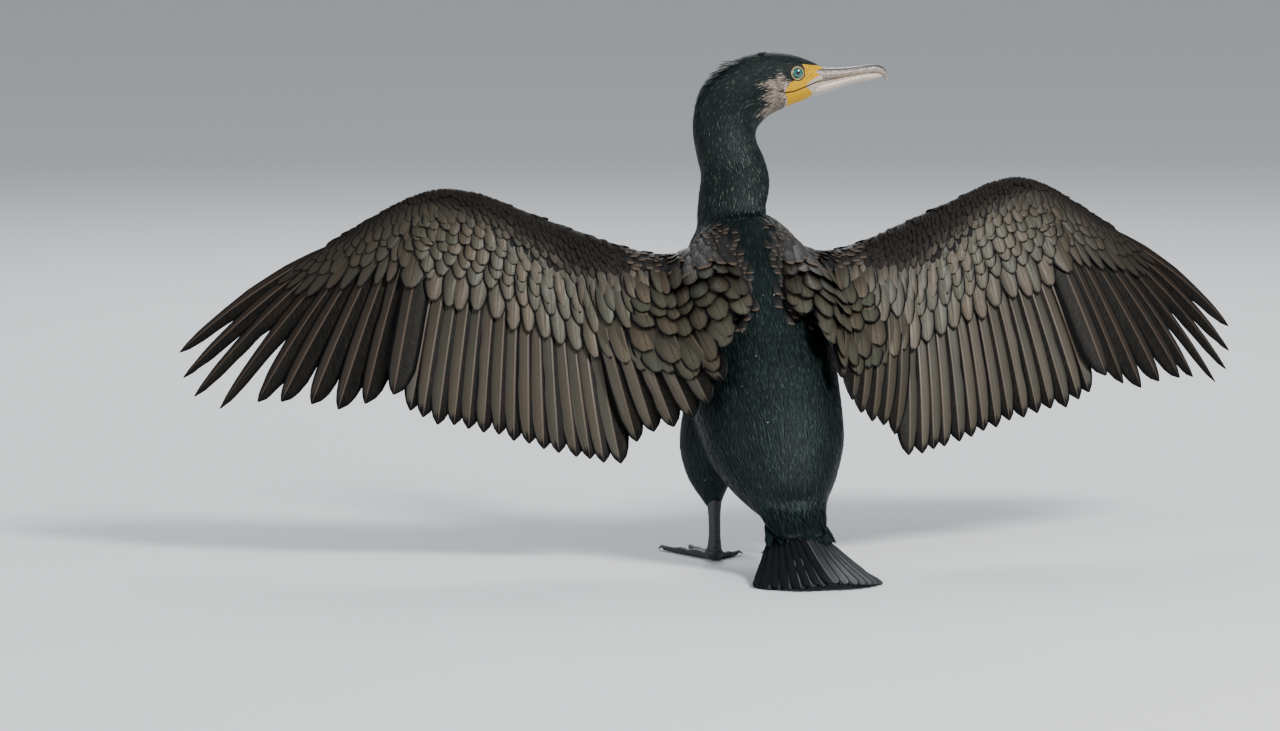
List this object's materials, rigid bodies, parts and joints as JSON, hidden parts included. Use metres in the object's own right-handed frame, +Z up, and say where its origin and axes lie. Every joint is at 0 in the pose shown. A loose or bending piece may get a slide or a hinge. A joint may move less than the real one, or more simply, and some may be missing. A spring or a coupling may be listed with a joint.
{
  "type": "great cormorant, wings spread",
  "caption": "Standing great cormorant with both wings held open to dry and the head turned aside, a still life-size bird model.",
  "frame": {"origin": "on the floor, at the middle of the bird's outline as seen from above", "axes": "+Z up, +Y the way the breast faces, +X to the bird's right, where the bill points"},
  "size_m": [1.194, 0.491, 0.5391],
  "materials": {
    "dark_plumage": "glossy black-green feathers",
    "bronze_feathers": "bronze-brown feathers with black edges",
    "brown_feathers": "dark brown flight feathers with paler shafts",
    "slate_feathers": "dark slate tail feathers with pale shafts",
    "horn": "satin horn, darker along the ridge",
    "eye": "wet, clear over a green iris",
    "gular_skin": "bare yellow skin of the face",
    "black_skin": "scaly black skin of legs and webs",
    "claw": "black horn"
  },
  "bodies": {
    "root": {"torso": "dark_plumage", "neck_lower": "dark_plumage", "neck_upper": "dark_plumage", "head": "dark_plumage", "bill_upper": "horn", "bill_lower": "horn", "eye_right": "eye", "eye_left": "eye", "tail": "slate_feathers", "wing_inner_right": "bronze_feathers", "wing_arm_right": "bronze_feathers", "wing_hand_right": "brown_feathers", "thigh_right": "dark_plumage", "tarsus_right": "black_skin", "foot_right": "black_skin", "claw_hind_right": "claw", "claw_inner_right": "claw", "claw_middle_right": "claw", "claw_outer_right": "claw", "wing_inner_left": "bronze_feathers", "wing_arm_left": "bronze_feathers", "wing_hand_left": "brown_feathers", "thigh_left": "dark_plumage", "tarsus_left": "black_skin", "foot_left": "black_skin", "claw_hind_left": "claw", "claw_inner_left": "claw", "claw_middle_left": "claw", "claw_outer_left": "claw"}
  },
  "joints": []
}
